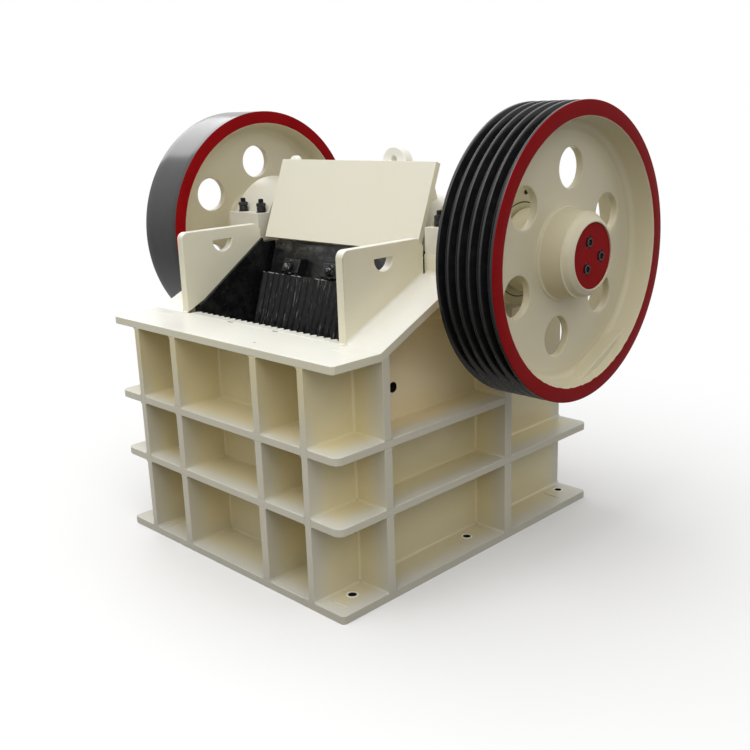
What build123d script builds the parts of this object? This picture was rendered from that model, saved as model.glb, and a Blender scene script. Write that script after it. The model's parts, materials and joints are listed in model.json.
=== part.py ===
"""Single-toggle jaw crusher: ribbed welded frame, toothed jaws, grooved pulley and flywheel.

Millimetres, +Z up. The feed deck looks to -Y, the grooved pulley stands on +X.
"""
import os
from math import atan2, cos, degrees, hypot, radians, sin, tan

from build123d import *

# Frame outline and plate levels
frame_half_width = 550
frame_half_length = 620
plate = 25
mid_flange_top = 293
upper_flange_top = 504
deck_top = 764
corner_radius = 26

# Walls of the box, set in from the frame outline
side_ledge = 123
front_ledge = 165
rear_ledge = 125
side_plate_outer = frame_half_width - side_ledge
side_plate_inner = side_plate_outer - plate
front_wall_face = -frame_half_length + front_ledge
front_wall_back = front_wall_face + plate
rear_wall_back = frame_half_length - rear_ledge
rear_wall_face = rear_wall_back - plate
rear_wall_top = 700
base_lip = 30

# Anchor holes in the base flange
bolt_hole_radius = 12.5
bolt_edge_distance = 80
front_hole_inset = 112
rear_hole_inset = 60
middle_hole_y = 26
bolt_hole_x = frame_half_width - bolt_edge_distance
bolt_hole_rows = (-frame_half_length + front_hole_inset, middle_hole_y, frame_half_length - rear_hole_inset)

# Sloping caps beside the feed mouth
cap_joint_offset = 35
cap_bend_offset = 19
cap_inner = side_plate_inner
cap_flat_front = front_wall_face - cap_joint_offset
cap_bend = front_wall_face + cap_bend_offset
cap_angle = radians(25.2)
cap_under_bend = cap_bend + plate * tan(cap_angle / 2)

# Toothed jaws
tooth_pitch = 31
tooth_depth = 16
tooth_land = 7
jaw_thickness = 39
jaw_rise = 106
mouth_depth = 266
discharge_gap = 50
fixed_jaw_side_gap = 28
fixed_jaw_bottom = 190
fixed_tip = front_wall_back + jaw_thickness
fixed_tooth_count = int(2 * (side_plate_inner - fixed_jaw_side_gap) / tooth_pitch)
moving_tooth_count = fixed_tooth_count - 1
jaw_top_y = fixed_tip + mouth_depth
jaw_top_z = deck_top + jaw_rise
jaw_bottom_y = fixed_tip + discharge_gap
jaw_bottom_z = fixed_jaw_bottom + plate
jaw_lean = atan2(jaw_top_y - jaw_bottom_y, jaw_top_z - jaw_bottom_z)
jaw_length = hypot(jaw_top_y - jaw_bottom_y, jaw_top_z - jaw_bottom_z)

# Shaft line and bearings
shaft_set_back = 273
shaft_rise = 221
shaft_y = jaw_top_y + shaft_set_back
shaft_z = deck_top + shaft_rise
throw = 12
journal_radius = 75
shaft_step = 3
seat_step = 5
eccentric_radius = journal_radius + throw + shaft_step
wheel_seat_radius = journal_radius - seat_step
running_gap = 0.05
fit_gap = 0.05
barrel_y = shaft_y
barrel_z = shaft_z - throw
barrel_wall = 75
barrel_radius = eccentric_radius + barrel_wall
bearing_wall = 71
bearing_radius = journal_radius + bearing_wall
housing_half_length = 236
housing_offset = 3
housing_foot_width = 170
housing_depth = 170
cap_foot_height = 82
cap_ledge = 3
dome_wall = 51
housing_front = shaft_y - housing_half_length
housing_rear = shaft_y + housing_half_length
housing_inner = side_plate_inner + housing_offset
housing_foot_end = housing_inner + housing_foot_width
housing_nose = 25
housing_face = housing_foot_end + housing_nose
housing_bottom = shaft_z - housing_depth
cap_foot_top = shaft_z + cap_foot_height
dome_radius = bearing_radius + dome_wall

# Ribs
front_rib_near = 190
front_rib_thickness = 30
side_rib_offset = 23
rear_rib_thickness = 36
front_rib_far = front_rib_near + front_rib_thickness
side_rib_start = front_wall_face + side_rib_offset
side_rib_front = (side_rib_start, side_rib_start + front_rib_thickness)
side_rib_rear = (shaft_y - rear_rib_thickness / 2 - 1, shaft_y + rear_rib_thickness / 2 - 1)

# Cheek plates and side liners
cheek_inset = 24
cheek_thickness = 30
cheek_set_back = 21
cheek_gap = 8
cheek_height = 273
cheek_inner = side_plate_inner - cheek_inset
cheek_outer = cheek_inner + cheek_thickness
cheek_front = front_wall_face + cheek_set_back
cheek_rear = housing_front - cheek_gap
cheek_top = deck_top + cheek_height
cheek_corner_radius = 24
hand_hole_y = (cheek_front + cheek_rear) / 2 - 3
hand_hole_radius = 40
hand_hole_top = cheek_top - hand_hole_radius
liner_thickness = 36
liner_gap = 2
liner_lap_height = 61
liner_reach = 56
liner_inner = side_plate_inner - liner_thickness
liner_front = fixed_tip + 3
liner_rear = cheek_rear + liner_reach
liner_hole_radius = 16
liner_hole_set_back = 126
liner_hole_drop = 159
liner_hole_y = fixed_tip + liner_hole_set_back
liner_hole_z = deck_top - liner_hole_drop

# Wheels
wheel_gap = 28
wheel_width = 198
wheel_radius = 440
rim_thickness = 47
rim_draft = 10
pulley_web_inset = 98
flywheel_web_inset = 84
web_thickness = 26
hub_gap = 12
hub_wall = 66
hub_foot_flare = 8
hub_stand_out = 27
hub_lip = 5
hub_cover_margin = 27
cover_thickness = 7
cover_recess = 2
wheel_inner = housing_face + wheel_gap
wheel_outer = wheel_inner + wheel_width
wheel_ring_inner = wheel_radius - rim_thickness
web_edge_radius = wheel_ring_inner - rim_draft
hub_radius = wheel_seat_radius + hub_wall
hub_foot_radius = hub_radius + hub_foot_flare
hub_inner_face = housing_face + hub_gap
hub_nose = wheel_outer + hub_stand_out
hub_cover_radius = wheel_seat_radius + hub_cover_margin
shaft_end = hub_nose - cover_thickness - cover_recess
web_hole_radius = 61
web_hole_offset = 18.5
web_hole_circle = (hub_foot_radius + wheel_ring_inner) / 2 - web_hole_offset
web_hole_count = 6
pulley_first_hole = 83
flywheel_first_hole = 86.5
groove_pitch = 37
groove_land = 6
groove_edge = 9
groove_depth = 22
groove_half_angle = radians(20)
groove_top = groove_pitch - groove_land
groove_bottom = groove_top - 2 * groove_depth * tan(groove_half_angle)
groove_count = int((wheel_width - groove_top - 2 * groove_edge) / groove_pitch) + 1
weight_middle_angle = -65.5
weight_half_angle = 21.5
weight_thickness = 48

# Moving jaw body
pitman_side_gap = 16
pitman_half_width = liner_inner - pitman_side_gap
slab_thickness = 62
slab_back = jaw_thickness + slab_thickness
slab_toe = 34
slab_head = 118
rib_thickness = 40
beam_foot_up = 70
beam_head_up = 330
guard_side_gap = 10
guard_half_width = cheek_inner - guard_side_gap
guard_thickness = 20
guard_foot = (shaft_y - 234, shaft_z + 3)
guard_head = (shaft_y - 130.4, shaft_z + 270)
stay_thickness = 16
stay_inset = 65
stay_spread = pitman_half_width - stay_inset
clamp_pitch = 205
clamp_half_width = 44
eye_inset = 186
eye_x = pitman_half_width - eye_inset
eye_radius = 54
eye_thickness = 34
eye_hole_radius = 12
tab_inset = 20
tab_x = tab_inset - pitman_half_width
tab_radius = 22

# Toggle plate and its seats
toggle_radius = 20
toggle_set_back = 53
toggle_height = 160
toggle_rise = 50
toggle_seat_depth = 118
toggle_side_gap = 50
toggle_front = (jaw_top_y + toggle_set_back, fixed_jaw_bottom + toggle_height)
toggle_rear = (rear_wall_face - toggle_seat_depth, toggle_front[1] + toggle_rise)
toggle_half_width = pitman_half_width - toggle_side_gap
toggle_gap = 0.3
toggle_block_wall = 24
beam_half_height = 60
travel_clearance = 6

# Tension rod at the toe
rod_radius = 14
rod_pin_radius = 12
rod_lug_thickness = 18
rod_lug_gap = 20
washer_radius = 38
washer_thickness = 8
rod_z = mid_flange_top - plate - washer_radius - 2 * throw - travel_clearance
rod_pin_set_back = 143
rod_pin_y = jaw_bottom_y + rod_pin_set_back
spring_start = rear_wall_back + throw + travel_clearance
spring_wire = 6
spring_radius = washer_radius - spring_wire - 3
spring_length = 57
rod_nut_length = 16


def block(x0, x1, y0, y1, z0, z1):
    """Box between six planes."""
    middle = Pos((x0 + x1) / 2, (y0 + y1) / 2, (z0 + z1) / 2)
    return middle * Box(x1 - x0, y1 - y0, z1 - z0)


def side_profile(points, x0, x1):
    """Outline in the Y-Z plane, drawn out along X."""
    face = Plane.YZ.offset(x0) * make_face(Polyline(*points, close=True))
    return extrude(face, amount=x1 - x0)


def cross_bar(radius, x0, x1, y, z):
    """Round bar along X."""
    return Pos((x0 + x1) / 2, y, z) * Rot(0, 90, 0) * Cylinder(radius, x1 - x0)


def length_bar(radius, y0, y1, z):
    """Round bar along Y in the middle of the frame."""
    return Pos(0, (y0 + y1) / 2, z) * Rot(90, 0, 0) * Cylinder(radius, y1 - y0)


def turned(points):
    """Profile of X and radius, turned about the shaft line."""
    face = Plane.XZ * make_face(Polyline(*points, close=True))
    return Pos(0, shaft_y, shaft_z) * revolve(face, axis=Axis.X)


def mirrored(shape):
    """The same piece on the other side of the frame."""
    return mirror(shape, about=Plane.YZ)


def group(shapes):
    """One node from solids that stay apart."""
    return Compound([solid for shape in shapes for solid in shape.solids()])


def both_sides(shape):
    return group([shape, mirrored(shape)])


def cap_top(y):
    """Height of the sloping cap's upper face."""
    return deck_top + max(0, y - cap_bend) * tan(cap_angle)


def cap_under(y):
    """Height of the sloping cap's lower face."""
    return deck_top - plate + max(0, y - cap_under_bend) * tan(cap_angle)


def base_flange_sides():
    """Side strips of the base flange with three anchor holes each."""
    side = block(side_plate_inner - base_lip, frame_half_width, -frame_half_length,
                 frame_half_length, 0, plate)
    outer_edges = side.edges().filter_by(Axis.Z).sort_by(Axis.X)[-2:]
    side = fillet(outer_edges, corner_radius / 2)
    for row in bolt_hole_rows:
        side -= Pos(bolt_hole_x, row, plate / 2) * Cylinder(bolt_hole_radius, plate)
    return both_sides(side)


def base_flange_ends():
    """Front and rear strips of the base flange, with a lip inside the walls."""
    half = side_plate_inner - base_lip
    front = block(-half, half, -frame_half_length, front_wall_back + base_lip, 0, plate)
    rear = block(-half, half, rear_wall_face - base_lip, frame_half_length, 0, plate)
    return group([front, rear])


def flange_sides(top, rear_end):
    """Side strips of one flange level with rounded outer corners."""
    side = block(side_plate_outer, frame_half_width, -frame_half_length, rear_end, top - plate, top)
    corners = side.edges().filter_by(Axis.Z).sort_by(Axis.X)[-2:].sort_by(Axis.Y)
    side = fillet(corners[0], corner_radius)
    if rear_end == frame_half_length:
        corners = side.edges().filter_by(Axis.Z).sort_by(Axis.Y)[-2:].sort_by(Axis.X)
        side = fillet(corners[-1], corner_radius)
    return both_sides(side)


def flange_front(top):
    return block(-side_plate_inner, side_plate_inner, -frame_half_length, front_wall_face,
                 top - plate, top)


def flange_rear(top):
    return block(-side_plate_inner, side_plate_inner, rear_wall_back, frame_half_length,
                 top - plate, top)


def deck():
    """Feed deck: a full-width strip with a tongue up to the fixed jaw."""
    strip = block(-frame_half_width, frame_half_width, -frame_half_length, cap_flat_front,
                  deck_top - plate, deck_top)
    corners = strip.edges().filter_by(Axis.Z).sort_by(Axis.Y)[:2]
    strip = chamfer(corners, corner_radius / 3)
    tongue = block(-cap_inner, cap_inner, cap_flat_front, front_wall_back, deck_top - plate, deck_top)
    return strip + tongue


def sloping_cap():
    """Bent plate that rises from the deck to the bearing housing."""
    outline = [
        (cap_flat_front, deck_top - plate),
        (cap_under_bend, deck_top - plate),
        (housing_front, cap_under(housing_front)),
        (housing_front, cap_top(housing_front)),
        (cap_bend, deck_top),
        (cap_flat_front, deck_top),
    ]
    return side_profile(outline, cap_inner, frame_half_width)


def side_plate():
    """Side of the box, with the hole through which the liner is bolted."""
    outline = [
        (-frame_half_length, plate),
        (frame_half_length, plate),
        (frame_half_length, rear_wall_top),
        (housing_rear, housing_bottom),
        (housing_front, housing_bottom),
        (housing_front, cap_under(housing_front)),
        (cap_under_bend, deck_top - plate),
        (-frame_half_length, deck_top - plate),
    ]
    body = side_profile(outline, side_plate_inner, side_plate_outer)
    return body - cross_bar(liner_hole_radius, side_plate_inner, side_plate_outer,
                            liner_hole_y, liner_hole_z)


def front_wall():
    """Wall behind the front pockets with the heel that carries the fixed jaw."""
    heel = fixed_tip - 4
    outline = [
        (front_wall_face, plate),
        (front_wall_back, plate),
        (front_wall_back, fixed_jaw_bottom - 60),
        (heel, fixed_jaw_bottom - plate),
        (heel, fixed_jaw_bottom),
        (front_wall_back, fixed_jaw_bottom),
        (front_wall_back, deck_top - plate),
        (front_wall_face, deck_top - plate),
    ]
    return side_profile(outline, -side_plate_inner, side_plate_inner)


def rear_wall():
    """Wall with a slot, open below, in which the tension rod moves."""
    wall = block(-side_plate_inner, side_plate_inner, rear_wall_face, rear_wall_back,
                 plate, rear_wall_top)
    slot_half = rod_radius + travel_clearance
    slot_end = rod_z + 2 * throw
    wall -= block(-slot_half, slot_half, rear_wall_face, rear_wall_back, plate, slot_end)
    return wall - length_bar(slot_half, rear_wall_face, rear_wall_back, slot_end)


def bearing_shelves():
    """Plate under each bearing housing, carried by the side plate and its rear rib."""
    shelf = block(side_plate_outer, frame_half_width, housing_front, housing_rear,
                  housing_bottom - plate, housing_bottom)
    return both_sides(shelf)


def front_ribs():
    rows = (
        (plate, mid_flange_top - plate),
        (mid_flange_top, upper_flange_top - plate),
        (upper_flange_top, deck_top - plate),
    )
    ribs = [
        block(front_rib_near, front_rib_far, -frame_half_length, front_wall_face, low, high)
        for low, high in rows
    ]
    return both_sides(group(ribs))


def side_ribs():
    """Two upright ribs a side; the front one ends under the cap, the rear one under the shelf."""
    x0, x1 = side_plate_outer, frame_half_width
    ribs = [
        block(x0, x1, y0, y1, plate, mid_flange_top - plate)
        for y0, y1 in (side_rib_front, side_rib_rear)
    ]
    y0, y1 = side_rib_front
    ribs.append(block(x0, x1, y0, y1, mid_flange_top, upper_flange_top - plate))
    outline = [
        (y0, upper_flange_top),
        (y1, upper_flange_top),
        (y1, cap_under(y1)),
        (cap_under_bend, deck_top - plate),
        (y0, deck_top - plate),
    ]
    ribs.append(side_profile(outline, x0, x1))
    y0, y1 = side_rib_rear
    ribs.append(block(x0, x1, y0, y1, mid_flange_top, housing_bottom - plate))
    return both_sides(group(ribs))


def rear_ribs():
    low = block(front_rib_near, front_rib_far, rear_wall_back, frame_half_length,
                plate, mid_flange_top - plate)
    outline = [
        (rear_wall_back, mid_flange_top),
        (frame_half_length, mid_flange_top),
        (frame_half_length, mid_flange_top + (rear_wall_top - mid_flange_top) / 3),
        (rear_wall_back, rear_wall_top),
    ]
    high = side_profile(outline, front_rib_near, front_rib_far)
    return both_sides(group([low, high]))


def cheek_plate():
    """Upright plate beside the feed mouth with a half-round hand hole."""
    bevel = cheek_corner_radius
    outline = [
        (cheek_front, cap_top(cheek_front)),
        (cheek_rear, cap_top(cheek_rear)),
        (cheek_rear, cheek_top - bevel),
        (cheek_rear - bevel, cheek_top),
        (cheek_front, cheek_top),
    ]
    body = side_profile(outline, cheek_inner, cheek_outer)
    front_top = body.edges().filter_by(Axis.X).sort_by(Axis.Y)[:2].sort_by(Axis.Z)[-1]
    body = fillet(front_top, cheek_corner_radius)
    reach = 2 * hand_hole_radius
    hole = cross_bar(hand_hole_radius, cheek_inner, cheek_outer, hand_hole_y, hand_hole_top)
    hole -= block(cheek_inner, cheek_outer, hand_hole_y - reach, hand_hole_y + reach,
                  hand_hole_top, hand_hole_top + reach)
    return body - hole


def side_liner():
    """Wear plate in the crushing chamber: it laps over the cheek plate and runs on behind it."""
    toe = fixed_jaw_bottom + 10
    tail_top = guard_foot[1] - guard_thickness + liner_gap
    lap_top = cap_top(cheek_rear) + liner_lap_height
    lower = [
        (liner_front, toe),
        (liner_front + 95, toe),
        (liner_rear, housing_bottom - 30),
        (liner_rear, tail_top),
        (cheek_rear + liner_gap, tail_top),
        (cheek_rear + liner_gap, cap_top(cheek_rear)),
        (liner_front, cap_top(liner_front)),
    ]
    lap_front = liner_front + 16
    upper = [
        (lap_front, cap_top(liner_front) - 20),
        (cheek_rear + liner_gap, cap_top(cheek_rear) - 20),
        (cheek_rear + liner_gap, tail_top),
        (cheek_rear - liner_gap, lap_top),
        (lap_front, cap_top(lap_front) + 1),
    ]
    thick = side_profile(lower, liner_inner, side_plate_inner)
    lap = side_profile(upper, liner_inner, cheek_inner)
    return thick + lap


def toothed_plate(tooth_count, height):
    """Jaw plate with upright teeth towards -Y, tips on y = 0, foot on z = 0."""
    half = tooth_count * tooth_pitch / 2
    outline = [(-half, jaw_thickness)]
    for number in range(tooth_count):
        left = -half + number * tooth_pitch
        tip = left + tooth_pitch / 2
        outline.append((left, tooth_depth))
        outline.append((tip - tooth_land / 2, 0))
        outline.append((tip + tooth_land / 2, 0))
    outline.append((half, tooth_depth))
    outline.append((half, jaw_thickness))
    face = make_face(Polyline(*outline, close=True))
    return extrude(face, amount=height)


def fixed_jaw():
    body = toothed_plate(fixed_tooth_count, deck_top - fixed_jaw_bottom)
    return Pos(0, fixed_tip, fixed_jaw_bottom) * Rot(0, 0, 180) * body


def moving_jaw():
    body = toothed_plate(moving_tooth_count, jaw_length)
    place = Pos(0, jaw_bottom_y, jaw_bottom_z) * Rot(-degrees(jaw_lean), 0, 0)
    return place * body


def jaw_point(up, back):
    """Y and Z of a point on the moving jaw: distance up its face and depth behind the tips."""
    y = jaw_bottom_y + up * sin(jaw_lean) + back * cos(jaw_lean)
    z = jaw_bottom_z + up * cos(jaw_lean) - back * sin(jaw_lean)
    return (y, z)


def clamp_blocks():
    """Three wedge blocks that hold the head of the moving jaw plate."""
    outline = [
        jaw_point(jaw_length + 1, jaw_thickness),
        jaw_point(jaw_length + 1, tooth_depth - 6),
        jaw_point(jaw_length + 8, tooth_depth - 16),
        jaw_point(jaw_length + 58, tooth_depth - 10),
        jaw_point(jaw_length + 66, jaw_thickness),
    ]
    return group([
        side_profile(outline, middle - clamp_half_width, middle + clamp_half_width)
        for middle in (-clamp_pitch, 0, clamp_pitch)
    ])


def barrel_space():
    """Room that the barrel takes in the pieces round it."""
    reach = 2 * pitman_half_width
    return cross_bar(barrel_radius, -reach, reach, barrel_y, barrel_z)


def pitman_barrel():
    """Tube that rides on the eccentric."""
    half = pitman_half_width
    body = cross_bar(barrel_radius, -half, half, barrel_y, barrel_z)
    return body - cross_bar(eccentric_radius + running_gap, -half, half, barrel_y, barrel_z)


def rod_lug():
    """Ear behind the toe that holds the pin of the tension rod."""
    ear = 2 * rod_pin_radius
    return [
        jaw_point(-20, slab_back),
        (rod_pin_y + 10, rod_z - ear),
        (rod_pin_y + ear, rod_z - 10),
        (rod_pin_y + ear, rod_z + 10),
        (rod_pin_y + 10, rod_z + ear),
        jaw_point(beam_foot_up, slab_back),
        jaw_point(beam_foot_up, slab_back - 10),
        jaw_point(-20, slab_back - 10),
    ]


def pitman_slab():
    """Slab that backs the moving jaw plate, with its toe and the two rod lugs."""
    half = pitman_half_width
    outline = [
        jaw_point(-slab_toe, tooth_depth + 4),
        jaw_point(0, tooth_depth + 4),
        jaw_point(0, jaw_thickness),
        jaw_point(jaw_length + slab_head, jaw_thickness),
        (barrel_y, barrel_z + 60),
        (barrel_y, barrel_z - 60),
        jaw_point(jaw_length - 20, slab_back),
        jaw_point(-slab_toe, slab_back),
    ]
    body = side_profile(outline, -half, half) - barrel_space()
    for x0 in (-rod_lug_gap - rod_lug_thickness, rod_lug_gap):
        body += side_profile(rod_lug(), x0, x0 + rod_lug_thickness)
    return body - cross_bar(rod_pin_radius + fit_gap, -half, half, rod_pin_y, rod_z)


def toggle_beam():
    """Cross beam behind the slab with the round seat for the toggle plate."""
    half = pitman_half_width
    y, z = toggle_front
    outline = [
        jaw_point(beam_foot_up, slab_back),
        (y - 12, z - beam_half_height - 30),
        (y + 4, z - beam_half_height),
        (y + 4, z + beam_half_height),
        jaw_point(beam_head_up, slab_back),
    ]
    body = side_profile(outline, -half, half)
    return body - cross_bar(toggle_radius + toggle_gap, -half, half, y, z)


def pitman_ribs():
    """Four upright ribs between the beam, the slab and the barrel."""
    half = pitman_half_width
    y, z = toggle_front
    outline = [
        (y + 4, z + beam_half_height),
        (barrel_y + 118, barrel_z - 90),
        (barrel_y, barrel_z - 60),
        jaw_point(jaw_length - 20, slab_back),
        jaw_point(beam_head_up, slab_back),
    ]
    edge = half - rib_thickness / 2
    return group([
        side_profile(outline, middle - rib_thickness / 2, middle + rib_thickness / 2) - barrel_space()
        for middle in (-edge, -half / 3, half / 3, edge)
    ])


def guard():
    """Leaning cover plate in front of the barrel with its stay plates."""
    foot_y, foot_z = guard_foot
    head_y, head_z = guard_head
    lean = atan2(head_y - foot_y, head_z - foot_z)
    back_y = guard_thickness * cos(lean)
    back_z = -guard_thickness * sin(lean)
    sheet = [
        (foot_y, foot_z),
        (head_y, head_z),
        (head_y + back_y, head_z + back_z),
        (foot_y + back_y, foot_z + back_z),
    ]
    cover = side_profile(sheet, -guard_half_width, guard_half_width)
    stay = [
        (foot_y + back_y, foot_z + back_z + 20),
        (head_y + back_y, head_z + back_z - 30),
        (head_y + back_y + 40, head_z + back_z - 30),
        (barrel_y - 20, barrel_z + 100),
        (barrel_y - 100, barrel_z + 20),
    ]
    slab_room = [
        jaw_point(jaw_length, jaw_thickness),
        jaw_point(jaw_length + slab_head, jaw_thickness),
        (barrel_y, barrel_z + 60),
        (barrel_y, barrel_z - 60),
    ]
    half = stay_thickness / 2
    for middle in (-stay_spread, 0, stay_spread):
        plate_stay = side_profile(stay, middle - half, middle + half)
        plate_stay -= barrel_space()
        cover += plate_stay - side_profile(slab_room, middle - half, middle + half)
    return cover


def lifting_eyes():
    """Thick round eye on the barrel and a small round tab behind the guard."""
    y = guard_head[0] + 40
    z = guard_head[1] - 11
    foot_z = barrel_z + barrel_radius / 2
    eye = Pos(eye_x, y, z) * Rot(90, 0, 0) * Cylinder(eye_radius, eye_thickness)
    eye += block(eye_x - 0.75 * eye_radius, eye_x + 0.75 * eye_radius,
                 y - eye_thickness / 2, y + eye_thickness / 2, foot_z, z)
    eye -= Pos(eye_x, y, z + eye_radius / 4) * Rot(90, 0, 0) * Cylinder(eye_hole_radius, 2 * eye_thickness)
    tab_y = y - 10
    tab = Pos(tab_x, tab_y, z) * Rot(90, 0, 0) * Cylinder(tab_radius, tab_radius)
    tab += block(tab_x - 0.8 * tab_radius, tab_x + 0.8 * tab_radius,
                 tab_y - tab_radius / 2, tab_y + tab_radius / 2, foot_z, z)
    return group([eye - barrel_space(), tab - barrel_space()])


def shaft():
    """Eccentric shaft: offset middle, two journals and two wheel seats."""
    half = pitman_half_width + 8
    middle = cross_bar(eccentric_radius, -half, half, barrel_y, barrel_z)
    journals = cross_bar(journal_radius, -hub_inner_face, hub_inner_face, shaft_y, shaft_z)
    seats = cross_bar(wheel_seat_radius, -shaft_end, shaft_end, shaft_y, shaft_z)
    return middle + journals + seats


def rim_outline(grooved, web_inner):
    """Section of the rim; the inner face drafts towards the web."""
    outline = [(wheel_inner, wheel_ring_inner), (wheel_inner, wheel_radius)]
    if grooved:
        middle = (wheel_inner + wheel_outer) / 2
        for number in range(groove_count):
            centre = middle + (number - (groove_count - 1) / 2) * groove_pitch
            outline.append((centre - groove_top / 2, wheel_radius))
            outline.append((centre - groove_bottom / 2, wheel_radius - groove_depth))
            outline.append((centre + groove_bottom / 2, wheel_radius - groove_depth))
            outline.append((centre + groove_top / 2, wheel_radius))
    outline.append((wheel_outer, wheel_radius))
    outline.append((wheel_outer, wheel_ring_inner))
    outline.append((web_inner + web_thickness, web_edge_radius))
    outline.append((web_inner, web_edge_radius))
    return outline


def rim_weight(web_outer):
    """Segment cast into the rim, cut off along a chord."""
    reach = wheel_ring_inner + rim_draft
    chord = wheel_ring_inner * cos(radians(weight_half_angle))
    face = web_outer + weight_thickness
    segment = cross_bar(reach, web_outer, face, 0, 0)
    segment -= block(web_outer, face, -reach, chord, -reach, reach)
    return Pos(0, shaft_y, shaft_z) * Rot(weight_middle_angle, 0, 0) * segment


def wheel_rim(grooved, web_inset):
    web_inner = wheel_inner + web_inset
    return turned(rim_outline(grooved, web_inner)) + rim_weight(web_inner + web_thickness)


def wheel_web(first_hole_angle, web_inset):
    """Flat web with round holes, and the hub with its flared foot and rounded nose."""
    web_inner = wheel_inner + web_inset
    web_outer = web_inner + web_thickness
    bore = wheel_seat_radius + fit_gap
    lip = hub_cover_radius + toggle_gap
    outline = [
        (hub_inner_face, bore),
        (hub_inner_face, hub_radius - hub_foot_flare),
        (web_inner, hub_radius),
        (web_inner, web_edge_radius),
        (web_outer, web_edge_radius),
        (web_outer, hub_foot_radius),
        (web_outer + 10, hub_foot_radius - 7),
        (wheel_outer - 4, hub_radius - 10),
        (wheel_outer, hub_radius - 15),
        (hub_nose - 10, hub_radius - 23),
        (hub_nose, lip + hub_lip),
        (hub_nose, lip),
        (shaft_end, lip),
        (shaft_end, bore),
    ]
    body = turned(outline)
    for number in range(web_hole_count):
        angle = radians(first_hole_angle - number * 360 / web_hole_count)
        y = shaft_y + web_hole_circle * cos(angle)
        z = shaft_z + web_hole_circle * sin(angle)
        body -= cross_bar(web_hole_radius, web_inner, web_outer, y, z)
    return body


def hub_covers():
    disc = cross_bar(hub_cover_radius, shaft_end, shaft_end + cover_thickness, shaft_y, shaft_z)
    return both_sides(disc)


def bearing_bore():
    return cross_bar(bearing_radius + fit_gap, housing_inner, housing_face, shaft_y, shaft_z)


def housing_nose_ring(radius, keep_low, keep_high):
    """Round part of the housing between two heights."""
    ring = cross_bar(radius, housing_foot_end, housing_face, shaft_y, shaft_z)
    keep = block(housing_foot_end, housing_face, shaft_y - radius, shaft_y + radius, keep_low, keep_high)
    return ring & keep


def bearing_seat():
    """Lower half of the housing, a block with a round nose."""
    seat = block(housing_inner, housing_foot_end, housing_front, housing_rear,
                 housing_bottom, shaft_z)
    nose_radius = shaft_z - housing_bottom
    return seat + housing_nose_ring(nose_radius, housing_bottom, shaft_z) - bearing_bore()


def bearing_cap():
    """Cap with a round back and two feet, set in a little from the seat below."""
    foot = block(housing_inner, housing_foot_end - cap_ledge, housing_front + cap_ledge,
                 housing_rear - cap_ledge, shaft_z, cap_foot_top)
    dome = cross_bar(dome_radius, housing_inner, housing_face, shaft_y, shaft_z)
    dome -= block(housing_inner, housing_face, shaft_y - dome_radius, shaft_y + dome_radius,
                  shaft_z - dome_radius, shaft_z)
    return foot + dome - bearing_bore()


def bearings():
    ring = cross_bar(bearing_radius, housing_inner + 4, housing_face, shaft_y, shaft_z)
    ring -= cross_bar(journal_radius + running_gap, housing_inner, housing_face, shaft_y, shaft_z)
    return both_sides(ring)


def toggle():
    """Toggle plate with round edges, leaning between the beam and the rear block."""
    front_y, front_z = toggle_front
    rear_y, rear_z = toggle_rear
    lean = atan2(rear_z - front_z, rear_y - front_y)
    dy = -0.7 * toggle_radius * sin(lean)
    dz = 0.7 * toggle_radius * cos(lean)
    outline = [
        (front_y + dy, front_z + dz),
        (rear_y + dy, rear_z + dz),
        (rear_y - dy, rear_z - dz),
        (front_y - dy, front_z - dz),
    ]
    body = side_profile(outline, -toggle_half_width, toggle_half_width)
    for y, z in (toggle_front, toggle_rear):
        body += cross_bar(toggle_radius, -toggle_half_width, toggle_half_width, y, z)
    return body


def toggle_block():
    """Block on the rear wall with a round seat that leaves the toggle plate its travel."""
    y, z = toggle_rear
    cup_z = z + throw
    cup_radius = toggle_radius + throw + travel_clearance
    half_height = cup_radius + toggle_block_wall
    half = side_plate_inner - 12
    body = block(-half, half, y, rear_wall_face, cup_z - half_height, cup_z + half_height)
    return body - cross_bar(cup_radius, -half, half, y, cup_z)


def tension_rod():
    """Rod from the toe of the pitman through the rear slot, with eye, pin, washers and nut."""
    rear_washer = spring_start + washer_thickness + spring_length
    rod_end = rear_washer + washer_thickness + rod_nut_length
    eye_half = rod_lug_gap - 1
    pin_half = rod_lug_gap + rod_lug_thickness + 4
    rod = length_bar(rod_radius, rod_pin_y, rod_end + 4, rod_z)
    rod += cross_bar(2 * rod_pin_radius, -eye_half, eye_half, rod_pin_y, rod_z)
    rod += cross_bar(rod_pin_radius, -pin_half, pin_half, rod_pin_y, rod_z)
    rod += length_bar(washer_radius, spring_start, spring_start + washer_thickness, rod_z)
    rod += length_bar(washer_radius, rear_washer, rear_washer + washer_thickness, rod_z)
    return rod + length_bar(rod_radius + 12, rear_washer, rod_end, rod_z)


def tension_spring():
    """Coil spring between the two washers of the rod."""
    coil = Helix(pitch=3 * spring_wire, height=spring_length - 2 * spring_wire, radius=spring_radius)
    section = Plane(origin=coil @ 0, z_dir=coil % 0) * Circle(spring_wire)
    body = sweep(section, path=coil)
    spring_end = spring_start + washer_thickness + spring_length - spring_wire
    return Pos(0, spring_end, rod_z) * Rot(90, 0, 0) * body


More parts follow.
